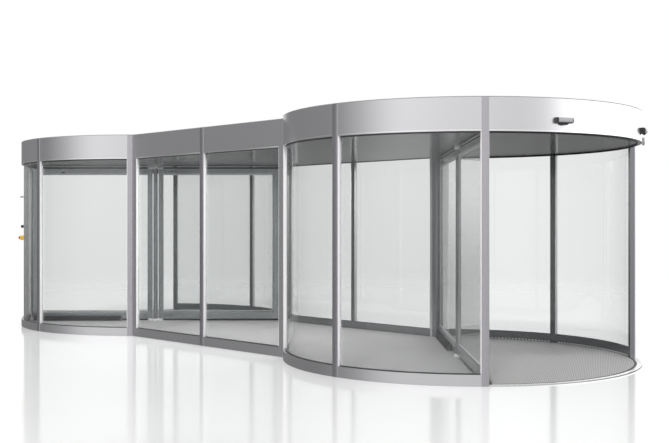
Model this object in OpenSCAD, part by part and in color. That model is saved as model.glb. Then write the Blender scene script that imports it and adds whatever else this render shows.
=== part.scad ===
// Double revolving door: two glazed drums, each with a two-wing rotor, joined by
// a straight glazed passage. Millimetres, +Z up, +X along the passage.
// The origin is on the floor, midway between the two drums.

/* [Drums and passage] */
// Outer diameter of each drum
drum_d = 3660; // [3000:10:4400]
// Distance between the two drum centres
drum_pitch = 5420; // [4600:10:6600]
// Angle that each doorway takes out of its drum, in degrees
opening_angle = 90; // [80:1:95]

/* [Heights] */
// Clear height from the floor to the ceiling
passage_h = 2200; // [1800:10:2700]
// Height of the canopy above the ceiling
canopy_h = 300; // [150:5:500]
// Height of the base fascia
base_h = 100; // [60:5:200]
// Thickness of the entrance matting
mat_t = 10; // [6:1:20]

/* [Posts and fascias] */
// Width of a post's face
post_w = 62; // [40:1:90]
// Depth of a post, fascia or base, from its outer face inwards
post_d = 50; // [50:1:70]
// How far a post's cover cap stands proud of the fascias
post_proud = 2; // [1:0.5:5]
// How much wider the passage's end posts are than the others
end_post_extra = 10; // [0:1:30]
// Thickness of the canopy's skin
canopy_skin = 20; // [10:1:30]
// Height of the lip along the canopy's lower edge
canopy_lip_h = 12; // [8:1:20]

/* [Glass, ceiling and roof] */
// Thickness of the fixed glass
glass_t = 12; // [8:1:14]
// Distance from the fascia's outer face to the glass
glass_inset = 32; // [10:1:35]
// Thickness of the ceiling panels
ceiling_t = 18; // [10:1:40]
// Thickness of the roof sheets
roof_t = 6; // [3:1:12]
// Width of the dark ring round each drum's matting
ring_w = 26; // [15:1:60]

/* [Wing leaves] */
// Thickness of a leaf's frame
leaf_t = 44; // [36:1:54]
// Width of the stile beside the centre pole
inner_stile_w = 64; // [50:1:70]
// Width of the stile beside the drum wall
outer_stile_w = 80; // [50:1:120]
// Height of the top rail
top_rail_h = 80; // [50:1:140]
// Height of the bottom rail
bottom_rail_h = 107; // [60:1:200]
// Width of the sloping bead that holds a leaf's glass
bead_w = 26; // [10:1:35]
// Thickness of a leaf's frame where it meets the glass
bead_t = 26; // [20:1:34]
// Thickness of a leaf's glass
leaf_glass_t = 10; // [6:1:12]
// Thickness of the brush and rubber seals
seal_t = 18; // [8:1:30]
// Height of the seals above and below a leaf
seal_h = 28; // [24:1:40]
// Width of the seal along a leaf's outer edge
edge_seal_w = 22; // [15:1:40]
// Running gap between a moving edge and what it passes
running_gap = 6; // [5:1:12]
// Running gap between a leaf's edge seal and the posts
edge_gap = 10; // [8:1:20]

/* [Centre pole and pivots] */
// Diameter of the centre pole
pole_d = 60; // [40:1:76]
// Gap between the pole and a leaf's corner as the leaf swings past it
pole_gap = 7; // [5:0.5:15]
// Diameter of a pivot pin
pin_d = 18; // [12:1:24]
// Depth that a pivot pin enters its leaf
pin_depth = 30; // [20:1:50]
// Diametral clearance of a pin in its bore
pin_play = 0.6; // [0.4:0.1:2]
// Wall of the pivot castings' hub around the pole
hub_wall = 18; // [10:1:24]
// Width of the arm under each leaf
arm_w = 44; // [30:1:50]
// Diametral clearance of the pole in its castings
pole_play = 0.2; // [0.1:0.1:1]
// Clearance of a turning end face at its bearing
bearing_play = 0.3; // [0.2:0.1:0.5]

/* [Heel guards and leaf sensors] */
// Height of the wedge-shaped heel guard
guard_h = 66; // [40:1:100]
// Depth of the heel guard at its lower edge
guard_d = 48; // [30:1:70]
// Distance from the drum's centre to the heel guard's inner end
guard_start = 480; // [300:10:900]
// Length of the presence sensor on a leaf's top rail
leaf_sensor_l = 60; // [40:1:200]
// Height of the presence sensor on a leaf's top rail
leaf_sensor_h = 35; // [20:1:60]
// Depth of the presence sensor on a leaf's top rail
leaf_sensor_d = 24; // [15:1:40]
// Distance from the leaf's outer edge to the middle of that sensor
leaf_sensor_inset = 438; // [100:1:800]

/* [Motion detectors] */
// Width of a motion detector
detector_w = 160; // [100:5:260]
// Height of a motion detector
detector_h = 66; // [40:1:100]
// How far a motion detector stands out from the canopy
detector_d = 55; // [30:1:80]
// Height of a detector's lower edge above the canopy's lower edge
detector_rise = 62; // [20:1:120]
// Angle of each detector from the middle of its doorway, in degrees
detector_angle = 22.5; // [10:0.5:35]

// Width of the safety sensor that watches each doorway's closing post
post_sensor_w = 60; // [40:1:120]
// Height of that safety sensor
post_sensor_h = 72; // [40:1:120]
// How far that safety sensor stands out from the canopy
post_sensor_d = 22; // [15:1:50]
// How far that safety sensor hangs below the canopy
post_sensor_drop = 20; // [0:1:40]
// Angle of that safety sensor from the middle of its doorway, in degrees
post_sensor_angle = 29; // [26:0.5:38]

/* [Control column on the doorway post] */
// Width of the control column
column_w = 62; // [50:1:90]
// How far the control column stands out from its post
column_d = 43; // [20:1:80]
// Height of the emergency stop's centre
stop_z = 1190; // [900:10:1400]
// Width of the emergency stop's square housing
stop_w = 64; // [50:1:80]
// Depth of the emergency stop's housing
stop_d = 52; // [30:1:70]
// Diameter of the stop button's head
stop_button_d = 40; // [30:1:60]
// Diameter of the stop button's neck
stop_neck_d = 24; // [15:1:30]
// How far the stop button stands out from its housing
stop_button_h = 26; // [15:1:40]
// Height of the key switch's centre
key_z = 1350; // [1300:10:1600]
// Diameter of the key switch
key_d = 40; // [25:1:60]
// How far the key switch stands out from the column
key_depth = 47; // [20:1:60]

/* [Hidden] */
$fn = 360;

// Sides and leaves: +1 is the right drum, -1 the left one
RIGHT = 1;
LEFT = -1;
FRONT = -1;
BACK = 1;

drum_r = drum_d / 2;
inner_r = drum_r - post_d;              // inner face of posts, bases and lip
half_opening = opening_angle / 2;
mid_angle = 90;                         // the posts at the drum's front and back
post_half_angle = asin(post_w / 2 / inner_r);
total_h = passage_h + canopy_h;
wall_top = total_h - roof_t;            // posts and canopy end under the roof
glass_out_r = drum_r - glass_inset;
glass_h = passage_h - base_h;
seam = 0.3;                             // joint between curved pieces
overshoot = 1;                          // how far a cut runs past the faces it opens
roof_r = drum_r - post_proud;
mat_r = inner_r - seam - ring_w;

// Width of the passage, to whole millimetres: its fascias end at the outer corners
// of the drums' posts
passage_w = 2 * round(drum_r * sin(half_opening) - post_w / 2 * cos(half_opening) - post_proud);
passage_in_y = passage_w / 2 - post_d;  // inner face of the passage's walls
// Half-length of the passage, to the drum's outer circle at the wall's outer face
passage_half_l = drum_pitch / 2 - sqrt(pow(drum_r, 2) - pow(passage_w / 2, 2));

// Leaves: distances are from the drum's centre, and each leaf folds about its pivot,
// which stands on a whole millimetre
pivot_r = round(pole_d / 2 + pole_gap + norm([inner_stile_w / 2, leaf_t / 2]));
hub_d = pole_d + 2 * hub_wall;
leaf_in = pivot_r - inner_stile_w / 2;
leaf_seal_out = inner_r - edge_gap;
leaf_out = leaf_seal_out - edge_seal_w;
seal_z0 = mat_t + running_gap;
leaf_z0 = seal_z0 + seal_h;
leaf_z1 = passage_h - running_gap - seal_h;
casting_z0 = mat_t + bearing_play;
casting_h = leaf_z0 - running_gap - casting_z0;
casting_top_z = passage_h - bearing_play - casting_h;
arm_end_r = pivot_r + arm_w / 2;        // rounded end of a casting's arm
seal_in = arm_end_r + 2 * running_gap;
leaf_sensor_r = leaf_out - leaf_sensor_inset;
right_wing_angle = -45;                 // direction of the right front leaf
left_wing_angle = -135;                 // direction of the left front leaf

aluminium = "silver";
dark = [0.2, 0.2, 0.21];
clear = [0.75, 0.85, 0.85, 0.4];

// Stands a drum's parts at its centre; the left drum is turned half round
module at_drum(side) {
    translate([side * drum_pitch / 2, 0, 0]) rotate([0, 0, side == RIGHT ? 0 : 180]) children();
}

// Part of a ring between two angles, with its corner at r_in, z
module ring_part(r_in, r_out, from, to, z, h) {
    rotate([0, 0, from]) rotate_extrude(angle = to - from)
        translate([r_in, z]) square([r_out - r_in, h]);
}

// Start and end angles of the wall panels beside one doorway, on one side
function wall_bays(way) = way == FRONT
    ? [[half_opening - 180, -mid_angle], [-mid_angle, -half_opening]]
    : [[half_opening, mid_angle], [mid_angle, 180 - half_opening]];

// The two bays of one curved wall, clear of the posts at their ends
module wall_ring(way, r_in, r_out, z, h) {
    for (bay = wall_bays(way))
        ring_part(r_in, r_out, bay[0] + post_half_angle, bay[1] - post_half_angle, z, h);
}

// One canopy panel: a thin skin with a lip along its lower edge
module canopy_panel(from, to) {
    rotate([0, 0, from + post_half_angle])
        rotate_extrude(angle = to - from - 2 * post_half_angle)
            polygon([
                [inner_r, passage_h], [drum_r, passage_h], [drum_r, wall_top],
                [drum_r - canopy_skin, wall_top],
                [drum_r - canopy_skin, passage_h + canopy_lip_h],
                [inner_r, passage_h + canopy_lip_h]
            ]);
}

module drum_canopy(side) {
    color(aluminium) at_drum(side) {
        for (way = [FRONT, BACK], bay = wall_bays(way)) canopy_panel(bay[0], bay[1]);
        canopy_panel(-half_opening, half_opening);
    }
}

// Plan of a drum post, pointing along +X before it is turned to its place
module post_plan() {
    intersection() {
        translate([inner_r, -post_w / 2]) square([post_d + post_proud, post_w]);
        circle(r = drum_r + post_proud);
    }
}

module drum_posts(side) {
    color(aluminium) at_drum(side)
        for (a = [half_opening, mid_angle, 180 - half_opening], way = [FRONT, BACK])
            rotate([0, 0, way * a]) linear_extrude(wall_top) post_plan();
}

// Cuts a plan of the passage's wall where the drums and their posts stand
module clear_of_drums() {
    difference() {
        children();
        for (side = [RIGHT, LEFT]) at_drum(side) {
            circle(r = inner_r + seam);
            for (flip = [0, 1]) mirror([0, flip, 0]) rotate([0, 0, 180 - half_opening])
                translate([inner_r - post_d, -3.5 * post_w]) square([4 * post_d, 4 * post_w]);
        }
    }
}

// Face of the passage's end posts, measured along the wall
end_post_w = post_w + end_post_extra;
end_post_x = passage_half_l - end_post_w;

module passage_posts() {
    color(aluminium) for (way = [FRONT, BACK]) {
        linear_extrude(wall_top) {
            // Middle post
            translate([-post_w / 2, way == BACK ? passage_in_y : -passage_w / 2 - post_proud])
                square([post_w, post_d + post_proud]);
            // End posts against the drums
            clear_of_drums() for (side = [RIGHT, LEFT])
                translate([side == RIGHT ? end_post_x : -passage_half_l - post_d,
                           way == BACK ? passage_in_y : -passage_w / 2])
                    square([end_post_w + post_d, post_d]);
        }
    }
}

// The two straight bays of one passage wall between its posts
module passage_bays(y_in, y_out, z, h) {
    for (way = [FRONT, BACK], side = [RIGHT, LEFT])
        translate([side == RIGHT ? post_w / 2 : -end_post_x,
                   way == BACK ? y_in : -y_out, z])
            cube([end_post_x - post_w / 2, y_out - y_in, h]);
}

module passage_canopy() {
    color(aluminium) for (way = [FRONT, BACK], side = [RIGHT, LEFT])
        translate([side == RIGHT ? post_w / 2 : -end_post_x, 0, 0])
            rotate([90, 0, 90]) linear_extrude(end_post_x - post_w / 2)
                polygon([
                    [way * passage_in_y, passage_h], [way * passage_w / 2, passage_h],
                    [way * passage_w / 2, wall_top],
                    [way * (passage_w / 2 - canopy_skin), wall_top],
                    [way * (passage_w / 2 - canopy_skin), passage_h + canopy_lip_h],
                    [way * passage_in_y, passage_h + canopy_lip_h]
                ]);
}

module passage_bases() {
    color(aluminium) passage_bays(passage_in_y, passage_w / 2, 0, base_h);
}

module passage_glass() {
    glass_y = passage_w / 2 - glass_inset;
    color(clear) passage_bays(glass_y - glass_t, glass_y, base_h, glass_h);
}

module drum_base(side, way) {
    color(aluminium) at_drum(side) wall_ring(way * side, inner_r, drum_r, 0, base_h);
}

module drum_glass(side, way) {
    color(clear) at_drum(side)
        wall_ring(way * side, glass_out_r - glass_t, glass_out_r, base_h, glass_h);
}

// A flat piece that fills the passage between two discs of the given radius
module passage_plate(disc_r, half_w, z, h) {
    translate([0, 0, z]) linear_extrude(h) difference() {
        square([2 * passage_half_l + 4 * post_w, 2 * half_w], center = true);
        for (side = [RIGHT, LEFT]) translate([side * drum_pitch / 2, 0]) circle(r = disc_r);
    }
}

module drum_ceilings() {
    color("dimgray") for (side = [RIGHT, LEFT]) at_drum(side)
        translate([0, 0, passage_h]) cylinder(r = inner_r - seam, h = ceiling_t);
}

module passage_ceiling() {
    color("dimgray") passage_plate(inner_r, passage_in_y, passage_h, ceiling_t);
}

module drum_roofs() {
    color("gray") for (side = [RIGHT, LEFT]) at_drum(side)
        translate([0, 0, wall_top]) cylinder(r = roof_r, h = roof_t);
}

module passage_roof() {
    color("gray") passage_plate(roof_r + seam, passage_w / 2 - post_proud, wall_top, roof_t);
}

module drum_mats() {
    color("darkgray") for (side = [RIGHT, LEFT]) at_drum(side)
        cylinder(r = mat_r, h = mat_t);
}

module floor_rings() {
    color(dark) for (side = [RIGHT, LEFT]) at_drum(side)
        ring_part(mat_r + seam, inner_r - seam, 0, 360, 0, mat_t);
}

// Threshold plate of each doorway, between the doorway's posts
module thresholds() {
    span = half_opening - post_half_angle;
    color(aluminium) for (side = [RIGHT, LEFT]) at_drum(side)
        ring_part(inner_r, drum_r, -span, span, 0, mat_t);
}

module passage_mat() {
    color("darkgray") passage_plate(inner_r, passage_in_y, 0, mat_t);
}

module motion_detectors() {
    color(dark) for (side = [RIGHT, LEFT], way = [FRONT, BACK]) at_drum(side)
        rotate([0, 0, way * detector_angle]) difference() {
            translate([drum_r - detector_d, -detector_w / 2, passage_h + detector_rise])
                cube([2 * detector_d, detector_w, detector_h]);
            translate([0, 0, passage_h]) cylinder(r = drum_r + seam, h = canopy_h);
        }
}

// Wedge with its deep end down, hung on the canopy before each closing post
module post_sensors() {
    color(dark) for (side = [RIGHT, LEFT]) at_drum(side)
        rotate([0, 0, post_sensor_angle])
            translate([drum_r, post_sensor_w / 2, passage_h - post_sensor_drop])
                rotate([90, 0, 0]) linear_extrude(post_sensor_w)
                    polygon([
                        [0, 0], [post_sensor_d, 0],
                        [post_sensor_d / 2, post_sensor_h], [0, post_sensor_h]
                    ]);
}

// Turns something to the left drum's front doorway post
module at_control_post() {
    translate([-drum_pitch / 2, 0, 0]) rotate([0, 0, half_opening - 180]) children();
}

// Column on the outer face of that post, up to the canopy
module control_column() {
    color(aluminium) at_control_post() linear_extrude(passage_h) difference() {
        translate([drum_r, -column_w / 2]) square([post_proud + column_d, column_w]);
        circle(r = drum_r + post_proud);
    }
}

// Stands something on the outer face of the control column
module on_column(z) {
    at_control_post() translate([drum_r + post_proud + column_d, 0, z])
        rotate([0, 90, 0]) children();
}

module emergency_stop() {
    color("gold") on_column(stop_z)
        translate([-stop_w / 2, -stop_w / 2, 0]) cube([stop_w, stop_w, stop_d]);
    color("red") on_column(stop_z) translate([0, 0, stop_d]) {
        cylinder(d = stop_neck_d, h = stop_button_h);
        translate([0, 0, stop_button_h / 2])
            cylinder(d = stop_button_d, h = stop_button_h / 2);
    }
}

module key_switch() {
    color(dark) on_column(key_z) cylinder(d = key_d, h = key_depth);
}

module pole(side) {
    color(aluminium) at_drum(side) translate([0, 0, casting_z0])
        cylinder(d = pole_d, h = passage_h - bearing_play - casting_z0);
}

// Direction of a drum's leaf; the back leaf is opposite the front one
function leaf_angle(side, way) =
    (side == RIGHT ? right_wing_angle : left_wing_angle) + (way == FRONT ? 0 : 180);

// Stands a leaf's parts along +X from the drum's centre
module at_leaf(side, way) {
    translate([side * drum_pitch / 2, 0, 0]) rotate([0, 0, leaf_angle(side, way)]) children();
}

// A casting round the pole with an arm to each leaf's pivot, and the pins in the arms
module pivot_casting(z, pin_z) {
    difference() {
        translate([0, 0, z]) union() {
            cylinder(d = hub_d, h = casting_h);
            translate([-pivot_r, -arm_w / 2, 0]) cube([2 * pivot_r, arm_w, casting_h]);
            for (end = [-1, 1]) {
                translate([end * pivot_r, 0, 0]) cylinder(d = arm_w, h = casting_h);
            }
        }
        translate([0, 0, z - overshoot])
            cylinder(d = pole_d + pole_play, h = casting_h + 2 * overshoot);
    }
    for (end = [-1, 1]) translate([end * pivot_r, 0, pin_z])
        cylinder(d = pin_d, h = pin_depth + running_gap);
}

module pivot_castings(side) {
    color("gainsboro") at_leaf(side, FRONT) {
        pivot_casting(casting_z0, casting_z0 + casting_h);
        pivot_casting(casting_top_z, casting_top_z - pin_depth - running_gap);
    }
}

// Cross-section of a frame member: full thickness, sloping to the glass at x = w
module member_plan(w) {
    polygon([
        [0, -leaf_t / 2], [w - bead_w, -leaf_t / 2], [w, -bead_t / 2],
        [w, bead_t / 2], [w - bead_w, leaf_t / 2], [0, leaf_t / 2]
    ]);
}

module leaf_frame(side, way) {
    leaf_h = leaf_z1 - leaf_z0;
    leaf_l = leaf_out - leaf_in;
    color(aluminium) at_leaf(side, way) difference() {
        union() {
            translate([leaf_in, 0, leaf_z0]) linear_extrude(leaf_h) member_plan(inner_stile_w);
            translate([leaf_out, 0, leaf_z0]) mirror([1, 0, 0])
                linear_extrude(leaf_h) member_plan(outer_stile_w);
            translate([leaf_in, 0, leaf_z0]) mirror([1, 0, 0]) rotate([0, -90, 0])
                linear_extrude(leaf_l) member_plan(bottom_rail_h);
            translate([leaf_in, 0, leaf_z1]) rotate([0, 90, 0])
                linear_extrude(leaf_l) member_plan(top_rail_h);
        }
        for (z = [leaf_z0, leaf_z1 - pin_depth]) translate([pivot_r, 0, z - overshoot])
            cylinder(d = pin_d + pin_play, h = pin_depth + 2 * overshoot);
    }
}

module leaf_glass(side, way) {
    color(clear) at_leaf(side, way)
        translate([leaf_in + inner_stile_w, -leaf_glass_t / 2, leaf_z0 + bottom_rail_h])
            cube([leaf_out - leaf_in - inner_stile_w - outer_stile_w, leaf_glass_t,
                  leaf_z1 - leaf_z0 - bottom_rail_h - top_rail_h]);
}

module leaf_seals(side, way) {
    color(dark) at_leaf(side, way) {
        for (z = [seal_z0, leaf_z1]) translate([seal_in, -seal_t / 2, z])
            cube([leaf_seal_out - seal_in, seal_t, seal_h]);
        translate([leaf_out, -seal_t / 2, leaf_z0])
            cube([edge_seal_w, seal_t, leaf_z1 - leaf_z0]);
    }
}

// Heel guard and presence sensor, both on the face that leads as the rotor turns
module leaf_guard(side, way) {
    color(dark) at_leaf(side, way) {
        translate([guard_start, leaf_t / 2, seal_z0]) difference() {
            rotate([90, 0, 90]) linear_extrude(leaf_out - guard_start)
                polygon([[0, 0], [guard_d, 0], [0, guard_h]]);
            // Mitred inner end
            linear_extrude(guard_h) polygon([
                [-overshoot, 0], [guard_d + overshoot, guard_d + 2 * overshoot],
                [-overshoot, guard_d + 2 * overshoot]
            ]);
        }
        translate([leaf_sensor_r - leaf_sensor_l / 2, leaf_t / 2,
                   leaf_z1 - top_rail_h / 2 - leaf_sensor_h / 2])
            cube([leaf_sensor_l, leaf_sensor_d, leaf_sensor_h]);
    }
}

drum_canopy(RIGHT);  // right_canopy
drum_canopy(LEFT);  // left_canopy
passage_canopy();
drum_ceilings();
passage_ceiling();
drum_roofs();
passage_roof();
drum_base(RIGHT, FRONT);  // right_front_base
drum_base(RIGHT, BACK);  // right_back_base
drum_base(LEFT, FRONT);  // left_front_base
drum_base(LEFT, BACK);  // left_back_base
passage_bases();
drum_glass(RIGHT, FRONT);  // right_front_glass
drum_glass(RIGHT, BACK);  // right_back_glass
drum_glass(LEFT, FRONT);  // left_front_glass
drum_glass(LEFT, BACK);  // left_back_glass
passage_glass();
drum_posts(RIGHT);  // right_drum_posts
drum_posts(LEFT);  // left_drum_posts
passage_posts();
drum_mats();
passage_mat();
floor_rings();
thresholds();
motion_detectors();
post_sensors();
control_column();
emergency_stop();
key_switch();
pole(RIGHT);  // right_pole
pivot_castings(RIGHT);  // right_pivot_castings
pole(LEFT);  // left_pole
pivot_castings(LEFT);  // left_pivot_castings
leaf_frame(RIGHT, FRONT);  // right_front_leaf_frame
leaf_glass(RIGHT, FRONT);  // right_front_leaf_glass
leaf_seals(RIGHT, FRONT);  // right_front_leaf_seals
leaf_guard(RIGHT, FRONT);  // right_front_leaf_guard
leaf_frame(RIGHT, BACK);  // right_back_leaf_frame
leaf_glass(RIGHT, BACK);  // right_back_leaf_glass
leaf_seals(RIGHT, BACK);  // right_back_leaf_seals
leaf_guard(RIGHT, BACK);  // right_back_leaf_guard
leaf_frame(LEFT, FRONT);  // left_front_leaf_frame
leaf_glass(LEFT, FRONT);  // left_front_leaf_glass
leaf_seals(LEFT, FRONT);  // left_front_leaf_seals
leaf_guard(LEFT, FRONT);  // left_front_leaf_guard
leaf_frame(LEFT, BACK);  // left_back_leaf_frame
leaf_glass(LEFT, BACK);  // left_back_leaf_glass
leaf_seals(LEFT, BACK);  // left_back_leaf_seals
leaf_guard(LEFT, BACK);  // left_back_leaf_guard
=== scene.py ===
from math import asin, atan2, degrees, pi, radians

import bmesh
import bpy
from mathutils import Matrix, Vector


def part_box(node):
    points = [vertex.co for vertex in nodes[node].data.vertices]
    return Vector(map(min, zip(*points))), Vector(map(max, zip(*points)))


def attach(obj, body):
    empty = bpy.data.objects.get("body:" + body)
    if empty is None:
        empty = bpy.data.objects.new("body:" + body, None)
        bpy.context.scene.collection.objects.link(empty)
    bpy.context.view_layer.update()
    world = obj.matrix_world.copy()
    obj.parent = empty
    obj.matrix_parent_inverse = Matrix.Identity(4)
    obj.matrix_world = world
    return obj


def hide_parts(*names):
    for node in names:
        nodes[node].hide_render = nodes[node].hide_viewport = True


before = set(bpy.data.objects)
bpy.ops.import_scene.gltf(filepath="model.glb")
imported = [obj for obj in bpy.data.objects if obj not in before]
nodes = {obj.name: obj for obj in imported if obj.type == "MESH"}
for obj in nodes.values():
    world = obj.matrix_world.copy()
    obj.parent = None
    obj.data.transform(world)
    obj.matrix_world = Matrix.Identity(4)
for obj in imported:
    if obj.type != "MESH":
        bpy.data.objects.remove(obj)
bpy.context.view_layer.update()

scene = bpy.context.scene

# -------------------------------------------- the studio
# A white studio: the door stands on a pale polished floor under an even sky.
# Bright walls stand to the right and in front of it, and dark ones to the left.
EYE = (9.152, -8.305, 1.42)
EYE_TURN = 44.88
LENS = 53.81
VIEW_END = 400
LIGHT_BOUNCES = 24
CLEAR_BOUNCES = 32
camera = bpy.data.objects.new("camera", bpy.data.cameras.new("camera"))
camera.location = EYE
camera.rotation_euler = (radians(90), 0, radians(EYE_TURN))
camera.data.lens = LENS
camera.data.clip_end = VIEW_END
scene.collection.objects.link(camera)
scene.camera = camera
scene.view_settings.view_transform = "Standard"
scene.cycles.max_bounces = LIGHT_BOUNCES
scene.cycles.transmission_bounces = LIGHT_BOUNCES
scene.cycles.transparent_max_bounces = CLEAR_BOUNCES


def mixed(tree, kind, first, second, factor):
    """A mix of two colours or two shaders, as the socket it comes out of."""
    if kind == "shader":
        mix = tree.nodes.new("ShaderNodeMixShader")
        inputs, output = mix.inputs[1:3], mix.outputs[0]
    else:
        mix = tree.nodes.new("ShaderNodeMix")
        mix.data_type = "RGBA"
        inputs, output = mix.inputs[6:8], mix.outputs[2]
    for socket, value in zip([mix.inputs[0], *inputs], (factor, first, second)):
        if isinstance(value, bpy.types.NodeSocket):
            tree.links.new(value, socket)
        else:
            socket.default_value = value
    return output


def ramp(tree, factor, stops):
    """A colour ramp of grey or coloured stops, read at factor."""
    node = tree.nodes.new("ShaderNodeValToRGB")
    elements = node.color_ramp.elements
    while len(elements) < len(stops):
        elements.new(1)
    for element, (place, shade) in zip(elements, stops):
        element.position = place
        element.color = (*shade, 1) if isinstance(shade, tuple) else (shade, shade, shade, 1)
    tree.links.new(factor, node.inputs[0])
    return node.outputs[0]


def maths(tree, operation, *values):
    """One Math node's output."""
    node = tree.nodes.new("ShaderNodeMath")
    node.operation = operation
    for socket, value in zip(node.inputs, values):
        if isinstance(value, bpy.types.NodeSocket):
            tree.links.new(value, socket)
        else:
            socket.default_value = value
    return node.outputs[0]


def eased(tree, value, low, high):
    """A smooth step from 0 at the low level to 1 at the high one."""
    step = tree.nodes.new("ShaderNodeMapRange")
    step.interpolation_type = "SMOOTHSTEP"
    step.inputs["From Min"].default_value = low
    step.inputs["From Max"].default_value = high
    tree.links.new(value, step.inputs[0])
    return step.outputs[0]


# How bright the studio is at each angle from +X, in reflections that go level
# or up, and in those that go down.
STUDIO_WALLS = (
    (-180, 0.25), (-165, 0.27), (-150, 0.28), (-138, 0.24), (-130, 0.36), (-115, 0.54),
    (-101, 0.84), (-88, 1.04), (-60, 0.92), (-30, 0.87), (-15, 0.82), (2, 0.9), (14, 1.65),
    (108, 1.6), (118, 1.0), (155, 1.0), (160, 0.25), (180, 0.25),
)
STUDIO_FLOOR = (
    (-180, 0.22), (-150, 0.21), (-139, 0.25), (-126, 0.3), (-115, 0.38), (-101, 0.62),
    (-88, 0.66), (-42, 0.64), (0, 0.5), (40, 0.3), (70, 0.22), (125, 0.21), (128.5, 0.42),
    (132, 0.42), (136, 0.23), (142, 0.34), (146, 0.23), (180, 0.22),
)
WALL_TOP_FADE = (0.35, 0.9)
SKIRTING_FADE = (-0.07, 0.05)
WHITE = (1.0, 1.0, 1.0, 1)
SOFT_WHITE = (0.84, 0.84, 0.845, 1)
world = bpy.data.worlds.new("studio")
scene.world = world
world.use_nodes = True
sky = world.node_tree
sky.nodes.clear()
direction = sky.nodes.new("ShaderNodeTexCoord").outputs["Generated"]
split = sky.nodes.new("ShaderNodeSeparateXYZ")
sky.links.new(direction, split.inputs[0])
azimuth = maths(sky, "ARCTAN2", split.outputs[1], split.outputs[0])
turn = maths(sky, "MULTIPLY_ADD", azimuth, 0.5 / pi, 0.5)
walls, low_walls = (
    ramp(sky, turn, [((angle + 180) / 360, shade) for angle, shade in stops])
    for stops in (STUDIO_WALLS, STUDIO_FLOOR))
upper = mixed(sky, "colour", walls, WHITE, eased(sky, split.outputs[2], *WALL_TOP_FADE))
room = mixed(sky, "colour", low_walls, upper, eased(sky, split.outputs[2], *SKIRTING_FADE))
# Diffuse light is even, and what is seen straight or through glass is white.
path = sky.nodes.new("ShaderNodeLightPath")
lit = mixed(sky, "colour", room, SOFT_WHITE, path.outputs["Is Diffuse Ray"])
through = maths(
    sky, "MAXIMUM", path.outputs["Is Camera Ray"], path.outputs["Is Transmission Ray"])
unmirrored = maths(sky, "LESS_THAN", path.outputs["Glossy Depth"], 0.5)
seen = mixed(sky, "colour", lit, WHITE, maths(sky, "MULTIPLY", through, unmirrored))
background = sky.nodes.new("ShaderNodeBackground")
sky.links.new(seen, background.inputs[0])
sky_out = sky.nodes.new("ShaderNodeOutputWorld")
sky.links.new(background.outputs[0], sky_out.inputs[0])


def material(name, **sockets):
    """A new material, its node tree and its Principled shader with these plain values."""
    made = bpy.data.materials.new(name)
    made.use_nodes = True
    shader = made.node_tree.nodes["Principled BSDF"]
    for socket, value in sockets.items():
        shader.inputs[socket.replace("_", " ")].default_value = value
    return made, made.node_tree, shader


def object_point(tree):
    """Object coordinates."""
    return tree.nodes.new("ShaderNodeTexCoord").outputs["Object"]


# Reflections on the door pass through the floor, to the studio's lower part. The
# floor thins out to nothing far from the door, so no horizon shows.
FLOOR_R = 380
FLOOR_Z = -0.001
FLOOR_FADE = (7.0, 15.0)
floor_finish, tree, shader = material("floor_finish", Base_Color=WHITE, Roughness=0.1)
open_way = tree.nodes.new("ShaderNodeBsdfTransparent")
path = tree.nodes.new("ShaderNodeLightPath")
mirrored = maths(tree, "GREATER_THAN", path.outputs["Glossy Depth"], 0.5)
afar = tree.nodes.new("ShaderNodeVectorMath")
afar.operation = "LENGTH"
tree.links.new(object_point(tree), afar.inputs[0])
gone = maths(tree, "MAXIMUM", mirrored, eased(tree, afar.outputs["Value"], *FLOOR_FADE))
floor_seen = mixed(tree, "shader", shader.outputs[0], open_way.outputs[0], gone)
tree.links.new(floor_seen, tree.nodes["Material Output"].inputs[0])
bpy.ops.object.select_all(action="DESELECT")
bpy.ops.mesh.primitive_circle_add(
    vertices=96, radius=FLOOR_R, fill_type="NGON", location=(0, 0, FLOOR_Z))
floor = bpy.context.object
floor.name = "studio_floor"
floor.data.materials.append(floor_finish)

# A soft window light from the front right, and a hidden lamp under each ceiling.
WINDOW_POWER = 1.0
WINDOW_SPREAD = 8
WINDOW_TURN = (42, 0, 30)
FILL_LAMPS = ((2.71, 16, 2.4), (0, 60, 2.2), (-2.71, 26, 2.4))
FILL_Z = 2.15
sun = bpy.data.objects.new("window_light", bpy.data.lights.new("window_light", "SUN"))
sun.data.energy = WINDOW_POWER
sun.visible_glossy = False
sun.data.angle = radians(WINDOW_SPREAD)
sun.rotation_euler = [radians(angle) for angle in WINDOW_TURN]
scene.collection.objects.link(sun)
for x, power, reach in FILL_LAMPS:
    lamp = bpy.data.objects.new("fill_light", bpy.data.lights.new("fill_light", "AREA"))
    lamp.data.energy = power
    lamp.data.size = reach
    lamp.location = (x, 0, FILL_Z)
    lamp.visible_camera = lamp.visible_glossy = lamp.visible_transmission = False
    scene.collection.objects.link(lamp)


# ----------------------------- aluminium posts and fascias
# Extruded and rolled aluminium, satin anodised: posts, canopy skins, bases and
# leaf frames. The fine grain runs upright, as the sheets were brushed.
def noise(tree, scale, detail=2.0):
    """Noise on Object coordinates, scaled along each axis."""
    mapping = tree.nodes.new("ShaderNodeMapping")
    mapping.inputs["Scale"].default_value = scale
    tree.links.new(object_point(tree), mapping.inputs[0])
    node = tree.nodes.new("ShaderNodeTexNoise")
    node.inputs["Scale"].default_value = 1.0
    node.inputs["Detail"].default_value = detail
    tree.links.new(mapping.outputs[0], node.inputs["Vector"])
    return node.outputs[0]


def shaded(tree, shader, pattern, dark, light, socket="Base Color"):
    """Varies a shader's colour or roughness with a pattern, between two levels."""
    levels = ramp(tree, pattern, [(0.3, dark), (0.7, light)])
    tree.links.new(levels, shader.inputs[socket])


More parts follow.
